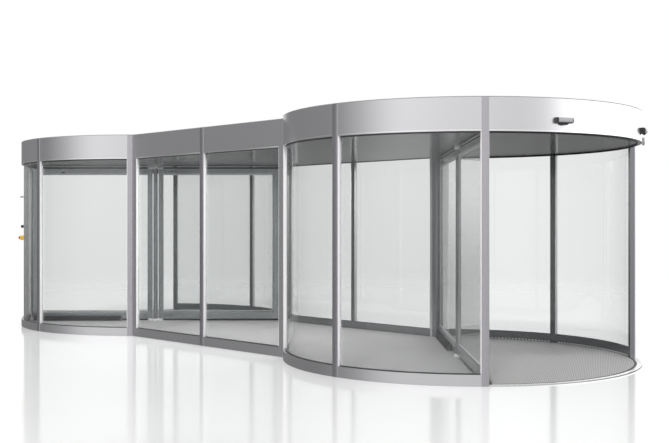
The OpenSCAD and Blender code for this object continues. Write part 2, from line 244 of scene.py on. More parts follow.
def bumped(tree, shader, height, strength, distance):
    """Bump on a shader's normal."""
    bump = tree.nodes.new("ShaderNodeBump")
    bump.inputs["Strength"].default_value = strength
    bump.inputs["Distance"].default_value = distance
    tree.links.new(height, bump.inputs["Height"])
    tree.links.new(bump.outputs[0], shader.inputs["Normal"])


def outer_side(tree):
    """1 on the walls' outer faces, and 0 on their inner faces and flanks, which take the painted
    shade.
    """
    place = tree.nodes.new("ShaderNodeSeparateXYZ")
    tree.links.new(object_point(tree), place.inputs[0])
    along = maths(tree, "ABSOLUTE", place.outputs[0])
    beside = maths(tree, "ABSOLUTE", place.outputs[1])
    from_drum = maths(tree, "ABSOLUTE", maths(tree, "SUBTRACT", along, centre["right"].x))
    reach = maths(tree, "SQRT", maths(
        tree, "ADD", maths(tree, "POWER", from_drum, 2), maths(tree, "POWER", beside, 2)))
    on_drum = maths(tree, "GREATER_THAN", reach, drum_r - 0.006)
    on_passage = maths(tree, "GREATER_THAN", beside, passage_y - 0.004)
    at_passage = maths(tree, "LESS_THAN", along, passage_half + 0.002)
    at_a_drum = maths(tree, "SUBTRACT", 1.0, at_passage)
    outer_drum = maths(tree, "MULTIPLY", at_a_drum, on_drum)
    return maths(tree, "MULTIPLY_ADD", at_passage, on_passage, outer_drum)


def satin_metal(name, light, dark, rough, inner=None):
    """Satin metal with a fine upright grain, and painted shade on the walls' inner side."""
    made, tree, shader = material(name, Metallic=1.0)
    grain = noise(tree, (420, 420, 2), detail=3)
    shade = ramp(tree, grain, [(0.3, dark), (0.7, light)])
    if inner:
        shade = mixed(tree, "colour", inner, shade, outer_side(tree))
    tree.links.new(shade, shader.inputs["Base Color"])
    shaded(tree, shader, grain, *rough, socket="Roughness")
    return made


def give(finish, *names):
    """Puts a finish on CAD nodes."""
    for name in names:
        node = nodes[name]
        if not node.material_slots:
            node.data.materials.append(finish)
        for slot in node.material_slots:
            slot.material = finish


# Where the drums stand: the left one is turned half round.
SIDES = ("right", "left")
WAYS = ("front", "back")
centre = {
    side: (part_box(side + "_pole")[0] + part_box(side + "_pole")[1]) / 2 for side in SIDES}
drum_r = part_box("right_canopy")[1].x - centre["right"].x
passage_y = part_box("passage_canopy")[1].y
passage_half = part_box("passage_canopy")[1].x

WALL_SHADES = ((0.772, 0.765, 0.79), (0.764, 0.757, 0.782), (0.26, 0.27))
# The leaves' frames and the poles are a darker copy of the same aluminium: painted shade for the
# inside of the drums.
LEAF_SHADES = ((0.4, 0.42, 0.43), (0.39, 0.41, 0.42), (0.24, 0.26))
# The post covers are a darker copy of the same aluminium: painted shade on the posts' faces.
COVER_SHADES = ((0.545, 0.53, 0.565), (0.535, 0.52, 0.555), (0.26, 0.28))
# The walls' inner faces are painted darker than their outer faces: painted shade for the inside of
# the drums and the passage.
PAINTED_INNER_SHADE = (0.3, 0.31, 0.32, 1)
wall_aluminium = satin_metal("wall_aluminium", *WALL_SHADES, PAINTED_INNER_SHADE)
aluminium = satin_metal("satin_aluminium", *WALL_SHADES)
leaf_aluminium_painted_shade = satin_metal("leaf_aluminium", *LEAF_SHADES)
cover_aluminium_painted_shade = satin_metal("cover_aluminium_painted_shade", *COVER_SHADES)
give(aluminium, "right_canopy", "left_canopy", "passage_canopy", "control_column")
give(wall_aluminium, "passage_bases", "right_drum_posts", "left_drum_posts", "passage_posts",
     *[f"{side}_{way}_base" for side in SIDES for way in WAYS])

# ---------------------------------------------- post covers
# A snap-on aluminium cover over each post's face, with round edges, in a darker copy of the
# aluminium that is painted shade. It laps the ends of the canopy and base sheets by 2 mm.
POST_W = 0.062
POST_ANGLES = (-135, -90, -45, 45, 90, 135)
COVER_W = POST_W + 0.004
COVER_D = 0.012
COVER_PROUD = 0.0045
COVER_ROUND = 0.0045
COVER_FOOT = 0.001
SMOOTH_ANGLE = radians(35)
wall_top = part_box("right_canopy")[1].z


def at_drum(side, angle=0.0):
    """Turns a piece to an angle from its drum's doorway, and stands it at the drum."""
    half_round = 0 if side == "right" else 180
    place = Vector((centre[side].x, 0, 0))
    return Matrix.Translation(place) @ Matrix.Rotation(radians(angle + half_round), 4, "Z")


def start(kind, name, **sizes):
    """A new primitive at its size and place, with nothing else selected."""
    bpy.ops.object.select_all(action="DESELECT")
    getattr(bpy.ops.mesh, f"primitive_{kind}_add")(**sizes)
    piece = bpy.context.object
    piece.name = name
    return piece


def place(piece, matrix):
    """Puts a piece's place into its mesh and leaves its object at the origin."""
    piece.data.transform(matrix)
    piece.matrix_world = Matrix.Identity(4)
    return piece


def block(name, low, high):
    """A cube primitive stretched between two corners."""
    low, high = Vector(low), Vector(high)
    piece = start("cube", name, size=1, location=(low + high) / 2)
    piece.data.transform(Matrix.Diagonal((*(high - low), 1)))
    return place(piece, piece.matrix_world.copy())


def pick(piece, mode, test):
    """In edit mode, selects only the faces or edges whose middle and direction pass."""
    bpy.ops.mesh.select_mode(type=mode)
    bpy.ops.mesh.select_all(action="DESELECT")
    mesh = bmesh.from_edit_mesh(piece.data)
    for item in mesh.faces if mode == "FACE" else mesh.edges:
        if mode == "FACE":
            middle, way = item.calc_center_median(), item.normal
        else:
            middle = (item.verts[0].co + item.verts[1].co) / 2
            way = (item.verts[1].co - item.verts[0].co).normalized()
        item.select_set(test(middle, way))
    bmesh.update_edit_mesh(piece.data)


def edit(piece, mode, test, *steps):
    """Selects in edit mode, runs each step there, and comes back to object mode."""
    bpy.ops.object.select_all(action="DESELECT")
    bpy.context.view_layer.objects.active = piece
    piece.select_set(True)
    bpy.ops.object.mode_set(mode="EDIT")
    pick(piece, mode, test)
    for step in steps:
        step()
    bpy.ops.object.mode_set(mode="OBJECT")
    return piece


def everything(middle, way):
    """Picks all faces."""
    return True


def remove_faces():
    """Deletes the selected faces."""
    bpy.ops.mesh.delete(type="FACE")


def face_outwards():
    """Turns every face to point outwards."""
    bpy.ops.mesh.select_all(action="SELECT")
    bpy.ops.mesh.normals_make_consistent(inside=False)


def bevelled(piece, width, segments=3, angle=40):
    """Rounds a piece's sharp edges with a Bevel modifier, applied."""
    bpy.ops.object.select_all(action="DESELECT")
    bpy.context.view_layer.objects.active = piece
    piece.select_set(True)
    bevel = piece.modifiers.new("round", "BEVEL")
    bevel.width = width
    bevel.segments = segments
    bevel.limit_method = "ANGLE"
    bevel.angle_limit = radians(angle)
    bpy.ops.object.modifier_apply(modifier="round")
    bpy.ops.object.shade_smooth_by_angle(angle=SMOOTH_ANGLE)
    return piece


def copy_of(piece, name, matrix):
    """A copy with its own mesh, moved by a matrix."""
    copy = piece.copy()
    copy.data = piece.data.copy()
    copy.name = name
    copy.data.transform(matrix)
    scene.collection.objects.link(copy)
    return copy


def joined(name, parts):
    """Several meshes as one piece."""
    bpy.ops.object.select_all(action="DESELECT")
    for part in parts:
        part.select_set(True)
    bpy.context.view_layer.objects.active = parts[0]
    bpy.ops.object.join()
    parts[0].name = name
    return parts[0]


def fitted(piece, finish, body, slot, *stands_for):
    """Gives a piece its finish and its body, and hides the CAD nodes it stands for. The slot is
    not used.
    """
    piece.data.materials.clear()
    piece.data.materials.append(finish)
    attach(piece, body)
    if stands_for:
        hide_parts(*stands_for)
    return piece


def cover(outer):
    """One cover strip along X, with its rounded face at this distance."""
    strip = block("cover_pattern", (outer - COVER_D, -COVER_W / 2, COVER_FOOT),
                  (outer, COVER_W / 2, wall_top))

    def front_corner(middle, way):
        return abs(way.z) > 0.99 and middle.x > outer - 0.001

    def round_off():
        bpy.ops.mesh.bevel(offset=COVER_ROUND, segments=4, affect="EDGES")

    edit(strip, "EDGE", front_corner, round_off)
    bpy.ops.object.shade_smooth_by_angle(angle=SMOOTH_ANGLE)
    return strip


pattern = cover(drum_r + COVER_PROUD)
for side in SIDES:
    strips = [copy_of(pattern, "cover", at_drum(side, angle)) for angle in POST_ANGLES]
    covers = joined(side + "_post_covers", strips)
    fitted(covers, cover_aluminium_painted_shade, "structure", "satin_aluminium")
bpy.data.objects.remove(pattern)

pattern = cover(passage_y + COVER_PROUD)
covers = joined("passage_post_covers", [
    copy_of(pattern, "cover", Matrix.Rotation(radians(90 * way), 4, "Z")) for way in (-1, 1)])
fitted(covers, cover_aluminium_painted_shade, "structure", "satin_aluminium")
bpy.data.objects.remove(pattern)


# ----------------------------------------- the fixed glass
# Curved and flat panes of clear 12 mm laminated glass, faintly green, held in
# slots between the posts. Lamps reach through them.
def clear_glass(name, tint, ior=1.5):
    """Clear glass that lets lamps through. A coated pane has a lower ior."""
    made, tree, shader = material(
        name, Base_Color=(*tint, 1), Roughness=0.0, IOR=ior, Transmission_Weight=1.0)
    open_way = tree.nodes.new("ShaderNodeBsdfTransparent")
    open_way.inputs[0].default_value = (*tint, 1)
    path = tree.nodes.new("ShaderNodeLightPath")
    through = mixed(
        tree, "shader", shader.outputs[0], open_way.outputs[0], path.outputs["Is Shadow Ray"])
    tree.links.new(through, tree.nodes["Material Output"].inputs[0])
    return made


GLASS_T = 0.012
GLASS_OUT = drum_r - 0.032
GLASS_IN = GLASS_OUT - GLASS_T
GLASS_TINT = (0.862, 0.869, 0.868)
fixed_glass = clear_glass("fixed_glass", GLASS_TINT)
give(fixed_glass, "passage_glass",
     *[f"{side}_{way}_glass" for side in SIDES for way in WAYS])

# ---------------------------------------- glazing gaskets
# Grey rubber wedges that hold the curved glass: a strip on both faces of the
# glass along the base and the canopy.
GASKET_W = 0.005
GASKET_H = 0.007
STEP_ANGLE = 3.0
BAYS = ((-135, -90), (-90, -45), (45, 90), (90, 135))
POST_D = 0.05
inner_r = drum_r - POST_D
post_turn = degrees(asin(POST_W / 2 / inner_r))
ceiling_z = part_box("right_canopy")[0].z
base_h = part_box("right_front_base")[1].z


def ring_strip(name, r_in, r_out, z_low, z_high, start_angle, end_angle):
    """A strip of rectangular section, spun round the drum's middle between two angles."""
    section = start("plane", name, size=1)
    section.data.transform(
        Matrix.Translation(((r_in + r_out) / 2, 0, (z_low + z_high) / 2))
        @ Matrix.Diagonal((r_out - r_in, 1, z_high - z_low, 1))
        @ Matrix.Rotation(radians(90), 4, "X"))
    section.data.transform(Matrix.Rotation(radians(start_angle), 4, "Z"))
    sweep = end_angle - start_angle
    steps = max(2, round(sweep / STEP_ANGLE))
    whole = sweep > 359.9

    def end_face(middle, way):
        outwards = Vector((middle.x, middle.y, 0)).normalized()
        return abs(way.z) < 0.01 and abs(way.dot(outwards)) < 0.5

    def spin():
        # A positive spin about -Z runs the way that angles grow.
        bpy.ops.mesh.spin(steps=steps, angle=radians(sweep), center=(0, 0, 0), axis=(0, 0, -1))
        bpy.ops.mesh.select_all(action="SELECT")
        bpy.ops.mesh.remove_doubles(threshold=1e-5)
        if whole:
            pick(section, "FACE", end_face)
            remove_faces()
        face_outwards()

    edit(section, "FACE", everything, spin)
    bpy.ops.object.shade_smooth_by_angle(angle=radians(30))
    return section


rubber_grey, tree, shader = material("gasket_rubber", Roughness=0.6)
shaded(tree, shader, noise(tree, (300, 300, 300)), 0.07, 0.1)
for side in SIDES:
    strips = []
    for low_angle, high_angle in BAYS:
        for r_in in (GLASS_OUT, GLASS_IN - GASKET_W):
            for z in (base_h, ceiling_z - GASKET_H):
                strips.append(ring_strip(
                    "gasket", r_in, r_in + GASKET_W, z, z + GASKET_H,
                    low_angle + post_turn, high_angle - post_turn))
    gaskets = place(joined(side + "_glazing_gaskets", strips), at_drum(side))
    fitted(gaskets, rubber_grey, "structure", "seal_rubber")

# -------------------------------------------- flank beads
# A glazing bead stands in the corner between each post's flank and the glass, on the outer and the
# inner face. Its near-white colour is a painted highlight along the flanks.
FLANK_BEAD_W = 0.009
FLANK_BEAD_BACK = 0.004
FLANK_BEAD_ROUND = 0.0015
bead_painted_highlight, tree, shader = material("bead_painted_highlight", Roughness=0.3)
shaded(tree, shader, noise(tree, (200, 200, 3)), 0.95, 0.98)
beads = []
for flank in (-1, 1):
    y_low, y_high = sorted((flank * POST_W / 2, flank * (POST_W / 2 + FLANK_BEAD_W)))
    for r_low, r_high in ((GLASS_OUT, drum_r - FLANK_BEAD_BACK), (inner_r + 0.002, GLASS_IN)):
        beads.append(block("bead", (r_low, y_low, base_h), (r_high, y_high, ceiling_z)))
pattern = bevelled(joined("bead_pattern", beads), FLANK_BEAD_ROUND, segments=2)
one_flank = {}
for flank in (-1, 1):
    half = copy_of(pattern, "half", Matrix.Identity(4))
    one_flank[flank] = edit(
        half, "FACE", lambda middle, way: middle.y * flank < 0, remove_faces)
for side in SIDES:
    strips = [copy_of(pattern, "bead", at_drum(side, angle)) for angle in (-90, 90)]
    # The doorway and the passage have no glass, so the posts there have one flank each.
    for angle, flank in ((-135, 1), (-45, -1), (45, 1), (135, -1)):
        strips.append(copy_of(one_flank[flank], "bead", at_drum(side, angle)))
    fitted(joined(side + "_flank_beads", strips), bead_painted_highlight, "structure", "satin_aluminium")
for part in (pattern, *one_flank.values()):
    bpy.data.objects.remove(part)
glass_x, glass_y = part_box("passage_glass")[1].x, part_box("passage_glass")[1].y
strips = []
for way in (-1, 1):
    for x in (-glass_x, -POST_W / 2 - FLANK_BEAD_W, POST_W / 2, glass_x - FLANK_BEAD_W):
        for low_y, high_y in ((glass_y, passage_y - FLANK_BEAD_BACK),
                              (passage_y - POST_D + 0.002, glass_y - GLASS_T)):
            y_low, y_high = sorted((way * low_y, way * high_y))
            strips.append(block(
                "bead", (x, y_low, base_h), (x + FLANK_BEAD_W, y_high, ceiling_z)))
beads = bevelled(joined("passage_flank_beads", strips), FLANK_BEAD_ROUND, segments=2)
fitted(beads, bead_painted_highlight, "structure", "satin_aluminium")

# ----------------------------------------- canopy's edges
# A polished bead is rolled along the canopy's lower edge, and a dark trim ring
# closes the joint between the lip and the ceiling all round.
BEAD_H = 0.014
BEAD_PROUD = 0.0015
BEAD_BACK = 0.004
BEAD_LAP = 0.001
BEAD_ROUND = 0.0018
TRIM_IN = inner_r - 0.004
TRIM_OUT = inner_r + 0.006
TRIM_H = 0.013
TRIM_GAP = 0.0002
TRIM_END = 134
polished, tree, shader = material("polished_aluminium", Metallic=1.0)
drag = noise(tree, (60, 60, 4))
shaded(tree, shader, drag, (0.86, 0.86, 0.87), (0.92, 0.92, 0.93))
shaded(tree, shader, drag, 0.16, 0.24, "Roughness")
dark_trim, tree, shader = material("dark_trim", Metallic=0.6, Roughness=0.4)
shaded(tree, shader, noise(tree, (90, 90, 90)), 0.03, 0.045)
for side in SIDES:
    beads = [
        ring_strip("bead", drum_r - BEAD_BACK, drum_r + BEAD_PROUD,
                   ceiling_z - BEAD_LAP, ceiling_z + BEAD_H,
                   low_angle + post_turn, high_angle - post_turn)
        for low_angle, high_angle in (*BAYS, (-45, 45))]
    beads = place(joined(side + "_canopy_bead", beads), at_drum(side))
    beads = bevelled(beads, BEAD_ROUND, segments=2)
    fitted(beads, polished, "structure", "satin_aluminium")
    trim = ring_strip(side + "_ceiling_trim", TRIM_IN, TRIM_OUT,
                      ceiling_z - TRIM_H, ceiling_z - TRIM_GAP, -TRIM_END, TRIM_END)
    fitted(place(trim, at_drum(side)), dark_trim, "structure", "seal_rubber")

# ------------------------------------- ceilings and roofs
# The ceiling is made of dark lacquered panels with a high gloss, and the flat
# roof of grey coated sheets.
ceiling_finish, tree, shader = material("ceiling_finish", IOR=1.5)
cloud = noise(tree, (1.5, 1.5, 1.5))
shaded(tree, shader, cloud, (0.075, 0.078, 0.08), (0.09, 0.093, 0.095))
shaded(tree, shader, cloud, 0.1, 0.16, "Roughness")
give(ceiling_finish, "drum_ceilings", "passage_ceiling")
roof_finish, tree, shader = material("roof_finish", Roughness=0.5)
dust = noise(tree, (3, 3, 3), detail=5)
shaded(tree, shader, dust, (0.36, 0.37, 0.38), (0.43, 0.44, 0.45))
give(roof_finish, "drum_roofs", "passage_roof")

# ---------------------------------------- mats and floor
# Textile matting with a diagonal weave in each drum and the passage, a dark
# ring round each drum, and an aluminium threshold in each doorway.
WEAVE_PITCH = 0.04
WEAVE_TURN = 65
RIB_PITCH = 0.016
RIB_TURN = -30
MAT_LIGHT = (0.66, 0.655, 0.65)
MAT_DARK = (0.26, 0.26, 0.26)
RING_PALE = (0.5, 0.5, 0.5, 1)
PASSAGE_MOUTH = 1.46


def wave(tree, turn_z, pitch, distortion=0.3):
    """A wave of this pitch across Object coordinates turned about Z."""
    mapping = tree.nodes.new("ShaderNodeMapping")
    mapping.inputs["Rotation"].default_value = (0, 0, radians(turn_z))
    tree.links.new(object_point(tree), mapping.inputs[0])
    node = tree.nodes.new("ShaderNodeTexWave")
    node.inputs["Scale"].default_value = pi / (10 * pitch)
    node.inputs["Distortion"].default_value = distortion
    tree.links.new(mapping.outputs[0], node.inputs["Vector"])
    return node.outputs["Fac"]


mat_finish, tree, shader = material("mat_finish", Roughness=0.5, IOR=1.6)
ribs = eased(tree, wave(tree, RIB_TURN, RIB_PITCH), 0.2, 0.6)
dash = eased(tree, wave(tree, WEAVE_TURN, WEAVE_PITCH), 0.05, 0.4)
yarn = maths(tree, "MULTIPLY_ADD", maths(tree, "MULTIPLY", ribs, dash), 0.7, 0.05)
fibre = maths(tree, "MULTIPLY_ADD", noise(tree, (600, 600, 600)), 0.35, yarn)
mat_shade = ramp(tree, fibre, [(0.15, MAT_DARK), (0.9, MAT_LIGHT)])
tree.links.new(mat_shade, shader.inputs["Base Color"])
bumped(tree, shader, fibre, 0.7, 0.004)
give(mat_finish, "drum_mats", "passage_mat")
# The ring is dark along the walls, and as pale as the matting where it crosses
# the passage.
ring_finish, tree, shader = material("ring_finish", Roughness=0.5)
split_ring = tree.nodes.new("ShaderNodeSeparateXYZ")
tree.links.new(object_point(tree), split_ring.inputs[0])
along = maths(tree, "ABSOLUTE", split_ring.outputs[0])
in_passage = maths(tree, "LESS_THAN", along, PASSAGE_MOUTH)
dark_ring = ramp(tree, noise(tree, (200, 200, 200)), [(0.3, 0.04), (0.7, 0.06)])
ring_shade = mixed(tree, "colour", dark_ring, RING_PALE, in_passage)
tree.links.new(ring_shade, shader.inputs["Base Color"])
give(ring_finish, "floor_rings")
give(polished, "thresholds")

# -------------------------------- mat clips and threshold ridges
# A row of short aluminium clips along each base's foot holds the mat down, and
# each threshold has thin raised ridges against slipping.
CLIP_STEP = 1.35
CLIP_END = 1.8
CLIP_D, CLIP_W, CLIP_H = 0.003, 0.024, 0.011
RIDGE_W = 0.004
RIDGE_H = 0.0012
RIDGE_PLACES = (0.01, 0.02, 0.03, 0.04)
mat_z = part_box("drum_mats")[1].z
for side in SIDES:
    pattern = block("clip_pattern", (inner_r - CLIP_D, -CLIP_W / 2, mat_z),
                    (inner_r, CLIP_W / 2, mat_z + CLIP_H))
    bevelled(pattern, 0.001, segments=1)
    clips = []
    for low_angle, high_angle in BAYS:
        count = int((high_angle - low_angle - 2 * CLIP_END) / CLIP_STEP)
        clips += [
            copy_of(pattern, "clip", at_drum(side, low_angle + CLIP_END + CLIP_STEP * number))
            for number in range(count + 1)]
    bpy.data.objects.remove(pattern)
    # The clips take the beads' near-white finish, a painted highlight.
    fitted(joined(side + "_mat_clips", clips), bead_painted_highlight, "structure", "threshold_plate")
    ridges = [
        ring_strip("ridge", inner_r + out - RIDGE_W / 2, inner_r + out + RIDGE_W / 2,
                   mat_z, mat_z + RIDGE_H, post_turn - 45, 45 - post_turn)
        for out in RIDGE_PLACES]
    ridges = place(joined(side + "_threshold_ridges", ridges), at_drum(side))
    fitted(ridges, polished, "structure", "threshold_plate")

# ------------------------------------------ roof edge and seams
# A folded drip edge covers each round roof's rim, and flat cover strips lie over
# the joints between the roof's sheets.
SEAM_W = 0.03
SEAM_H = 0.002
SEAM_ROUND = 0.0008
SEAM_PLACES = (-1.0, 0, 1.0)
SEAM_END = 0.01
roof_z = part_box("drum_roofs")[1].z
roof_r = drum_r - 0.002
seam_metal, tree, shader = material("seam_metal", Roughness=0.6)
shaded(tree, shader, noise(tree, (8, 8, 8), 4), 0.26, 0.32)
for side in SIDES:
    seams = [ring_strip("edge", roof_r + 0.0003, drum_r + 0.0008,
                        wall_top + 0.0002, roof_z + 0.0005, 0, 360)]
    for y in SEAM_PLACES:
        half = (roof_r ** 2 - (abs(y) + SEAM_W) ** 2) ** 0.5 - SEAM_END
        strip = block("seam", (-half, y - SEAM_W / 2, roof_z),
                      (half, y + SEAM_W / 2, roof_z + SEAM_H))
        seams.append(bevelled(strip, SEAM_ROUND, segments=2))
    roof_parts = place(joined(side + "_roof_seams", seams), at_drum(side))
    fitted(roof_parts, seam_metal, "structure", "roof_sheet")
seam = block("passage_roof_seam", (-SEAM_W / 2, SEAM_END - passage_y, roof_z),
             (SEAM_W / 2, passage_y - SEAM_END, roof_z + SEAM_H))
fitted(bevelled(seam, SEAM_ROUND, segments=2), seam_metal, "structure", "roof_sheet")

# ------------------------------- passage beads and gaskets
# The same bead and gaskets as the drums have, straight along the passage's
# front and back, in two bays each.
GASKET_ROUND = 0.001
bay_low, bay_high = POST_W / 2, passage_half
beads, wedges = [], []
for way in (-1, 1):
    facing = Matrix.Rotation(radians(90 - 90 * way), 4, "Z")
    for low, high in ((bay_low, bay_high), (-bay_high, -bay_low)):
        rail = block("bead", (low, passage_y - BEAD_BACK, ceiling_z - BEAD_LAP),
                     (high, passage_y + BEAD_PROUD, ceiling_z + BEAD_H))
        beads.append(place(rail, facing))
        for y in (glass_y, glass_y - GLASS_T - GASKET_W):
            for z in (base_h, ceiling_z - GASKET_H):
                wedge = block("wedge", (low, y, z), (high, y + GASKET_W, z + GASKET_H))
                wedges.append(place(wedge, facing))
beads = bevelled(joined("passage_canopy_bead", beads), BEAD_ROUND, segments=2)
fitted(beads, polished, "structure", "satin_aluminium")
wedges = bevelled(joined("passage_glazing_gaskets", wedges), GASKET_ROUND, segments=2)
fitted(wedges, rubber_grey, "structure", "seal_rubber")

# ---------------------------------------- motion detectors
# Two on each doorway's canopy: a light plastic housing with a rounded front, on
# a dark back plate, between dark end caps. A dark sensor dome hangs below it.
DETECTOR_ANGLE = 22.5
DETECTOR_W = 0.16
DETECTOR_H = 0.05
DETECTOR_D = 0.049
DETECTOR_CAP = 0.004
PLATE_BACK = 0.0015
PLATE_D = 0.006
HOUSING_IN = 0.002
DOME = (0.019, 0.04, 0.018)
DOME_OUT = 0.025
detector_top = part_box("motion_detectors")[1].z
detector_low = detector_top - DETECTOR_H


def plastic(name, light, dark, rough):
    """Moulded plastic with a fine grain."""
    made, tree, shader = material(name, Roughness=rough)
    grain = noise(tree, (900, 900, 900))
    shaded(tree, shader, grain, dark, light)
    bumped(tree, shader, grain, 0.15, 0.0004)
    return made


def rounded_front(piece, outer, width):
    """Rounds the two long edges at a piece's outer face, then all its edges lightly."""
    edit(piece, "EDGE", lambda middle, way: abs(way.y) > 0.99 and middle.x > outer - 0.001,
         lambda: bpy.ops.mesh.bevel(offset=width, segments=6, affect="EDGES"))
    return bevelled(piece, 0.0012, segments=2, angle=50)


light_plastic = plastic("light_plastic", (0.42, 0.43, 0.44), (0.38, 0.39, 0.4), 0.3)
dark_plastic = plastic("dark_plastic", (0.025, 0.025, 0.027), (0.018, 0.018, 0.02), 0.25)
face = drum_r + DETECTOR_D
half_w = DETECTOR_W / 2 - DETECTOR_CAP
housing = block("housing", (drum_r + PLATE_D, -half_w, detector_low + 0.003),
                (face - HOUSING_IN, half_w, detector_top - 0.001))
rounded_front(housing, face - HOUSING_IN, 0.02)
plate = block("plate", (drum_r - PLATE_BACK, -half_w, detector_low),
              (drum_r + PLATE_D, half_w, detector_top))
caps = [
    block("cap", (drum_r - PLATE_BACK, y, detector_low), (face, y + DETECTOR_CAP, detector_top))
    for y in (-DETECTOR_W / 2, half_w)]
for cap in caps:
    rounded_front(cap, face, 0.022)
strip = block("strip", (drum_r + PLATE_D, -half_w, detector_low - 0.001),
              (face - 0.006, half_w, detector_low + 0.003))
dome = start("uv_sphere", "dome", segments=32, ring_count=16, radius=1)
edit(dome, "FACE", lambda middle, way: middle.z > 0.05, remove_faces)
bpy.ops.object.shade_smooth()
dome_place = Matrix.Translation((drum_r + DOME_OUT, 0, detector_low))
place(dome, dome_place @ Matrix.Diagonal((*DOME, 1)))
for bar in (plate, strip):
    bevelled(bar, 0.0012, segments=2)
dark_parts = joined("dark_parts", [plate, *caps, strip, dome])
DETECTOR_PARTS = (
    ("detector_housings", housing, light_plastic),
    ("detector_lenses", dark_parts, dark_plastic),
)
for name, part, finish in DETECTOR_PARTS:
    copies = [copy_of(part, name, at_drum(side, way * DETECTOR_ANGLE))
              for side in SIDES for way in (-1, 1)]
    fitted(joined(name, copies), finish, "structure", "detector_plastic", "motion_detectors")
    bpy.data.objects.remove(part)

# --------------------------------------------- post sensors
# A small wedge-shaped safety sensor under each canopy, before the closing post,
# with a dark lens in its sloping face.
SENSOR_ANGLE = 29
SENSOR_W = 0.06
SENSOR_D = 0.022
SENSOR_SLOPE = 0.011
LENS_HALF = 0.022
FOOT_HALF = 0.024
sensor_low, sensor_high = (corner.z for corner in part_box("post_sensors"))
sensor_face = drum_r + SENSOR_D


def upper_front(middle, way):
    """Picks the sensor's long edge at the top of its face."""
    return abs(way.y) > 0.99 and middle.x > drum_r + 0.02 and middle.z > 2.2


housing = block("housing", (drum_r, -SENSOR_W / 2, sensor_low),
                (sensor_face, SENSOR_W / 2, sensor_high))
edit(housing, "EDGE", upper_front,
     lambda: bpy.ops.mesh.bevel(offset=SENSOR_SLOPE, segments=4, affect="EDGES"))
bevelled(housing, 0.002, segments=2, angle=50)
lens = bevelled(block("lens", (sensor_face - 0.001, -LENS_HALF, sensor_low + 0.008),
                      (sensor_face + 0.002, LENS_HALF, sensor_low + 0.03)), 0.001)
foot = bevelled(block("foot", (drum_r + 0.002, -FOOT_HALF, sensor_low - 0.003),
                      (drum_r + 0.018, FOOT_HALF, sensor_low)), 0.001, segments=2)
SENSOR_PARTS = (
    ("post_sensor_housings", housing, light_plastic),
    ("post_sensor_lenses", joined("lens", [lens, foot]), dark_plastic),
)
for name, part, finish in SENSOR_PARTS:
    copies = [copy_of(part, name, at_drum(side, SENSOR_ANGLE)) for side in SIDES]
    fitted(joined(name, copies), finish, "structure", "detector_plastic", "post_sensors")
    bpy.data.objects.remove(part)

# ----------------------------------- controls on the column
# On the left drum's control column: a yellow emergency stop with a red mushroom
# button, a key switch, a small signal arm, and a plain white plate on its side.
COLUMN_ANGLE = -135
COLUMN_D = 0.045
STOP_Z = 1.19
STOP_HALF = 0.032
STOP_D = 0.052
STOP_SCREW = 0.024
KEY_Z = 1.35
KEY_R = 0.02
KEY_OUT = 0.047
LEVER_W, LEVER_H = 0.007, 0.022
SIGNAL_Z = 1.7715
SIGNAL_OUT = 0.059
PLATE_X = (0.012, 0.042)
PLATE_Z = (1.545, 1.64)
PLATE_T = 0.003
column = Matrix.Translation((centre["left"].x, 0, 0)) @ Matrix.Rotation(
    radians(COLUMN_ANGLE), 4, "Z")
column_face = drum_r + COLUMN_D
stop_face = column_face + STOP_D
key_face = column_face + KEY_OUT


def disc(name, radius, low_x, high_x, z, width, y=0.0, vertices=32, segments=3):
    """A cylinder lying along X, with its rims rounded to this width."""
    rod = start("cylinder", name, vertices=vertices, radius=radius, depth=high_x - low_x)
    lying = Matrix.Rotation(radians(90), 4, "Y")
    place(rod, Matrix.Translation(((low_x + high_x) / 2, y, z)) @ lying)
    return bevelled(rod, width, segments=segments) if width else rod


yellow = plastic("stop_yellow", (0.8, 0.5, 0.03), (0.74, 0.45, 0.02), 0.35)
red = plastic("stop_red", (0.6, 0.03, 0.02), (0.5, 0.02, 0.015), 0.3)
white = plastic("plate_white", (0.82, 0.82, 0.82), (0.78, 0.78, 0.78), 0.4)
body = bevelled(block("emergency_stop_body", (column_face, -STOP_HALF, STOP_Z - STOP_HALF),
                      (stop_face, STOP_HALF, STOP_Z + STOP_HALF)), 0.006, segments=4)
collar = disc("collar", 0.024, stop_face - 0.001, stop_face + 0.004, STOP_Z, 0.0015)
stop_body = place(joined("emergency_stop_body", [body, collar]), column)
fitted(stop_body, yellow, "structure", "stop_plastic", "emergency_stop")
stem = disc("stem", 0.012, stop_face, stop_face + 0.016, STOP_Z, 0)
head = disc("head", 0.02, stop_face + 0.012, stop_face + 0.026, STOP_Z, 0.0055, segments=5)
stop_button = place(joined("emergency_stop_button", [stem, head]), column)
fitted(stop_button, red, "structure", "stop_plastic", "emergency_stop")
screws = [
    disc("screw", 0.003, stop_face - 0.001, stop_face + 0.0012, z, 0.0005, y, 12)
    for y in (-STOP_SCREW, STOP_SCREW) for z in (STOP_Z - STOP_SCREW, STOP_Z + STOP_SCREW)]
key_body = disc("key_body", KEY_R, column_face, key_face - 0.006, KEY_Z, 0.002)
key_ring = disc("key_ring", KEY_R * 0.8, key_face - 0.007, key_face - 0.002, KEY_Z, 0.0015)
key_lever = bevelled(block("key_lever", (key_face - 0.003, -LEVER_W / 2, KEY_Z - LEVER_H / 2),
                           (key_face, LEVER_W / 2, KEY_Z + LEVER_H / 2)), 0.001)
key_switch = place(joined("key_switch_body", [key_body, key_ring, key_lever, *screws]), column)
fitted(key_switch, dark_trim, "structure", "switch_metal", "key_switch")
signal = disc("signal_arm", 0.0115, column_face, column_face + SIGNAL_OUT, SIGNAL_Z, 0.004)
signal_foot = disc("signal_foot", 0.018, column_face, column_face + 0.005, SIGNAL_Z, 0.0015)
signal_arm = place(joined("signal_arm", [signal, signal_foot]), column)
fitted(signal_arm, light_plastic, "structure", "detector_plastic")
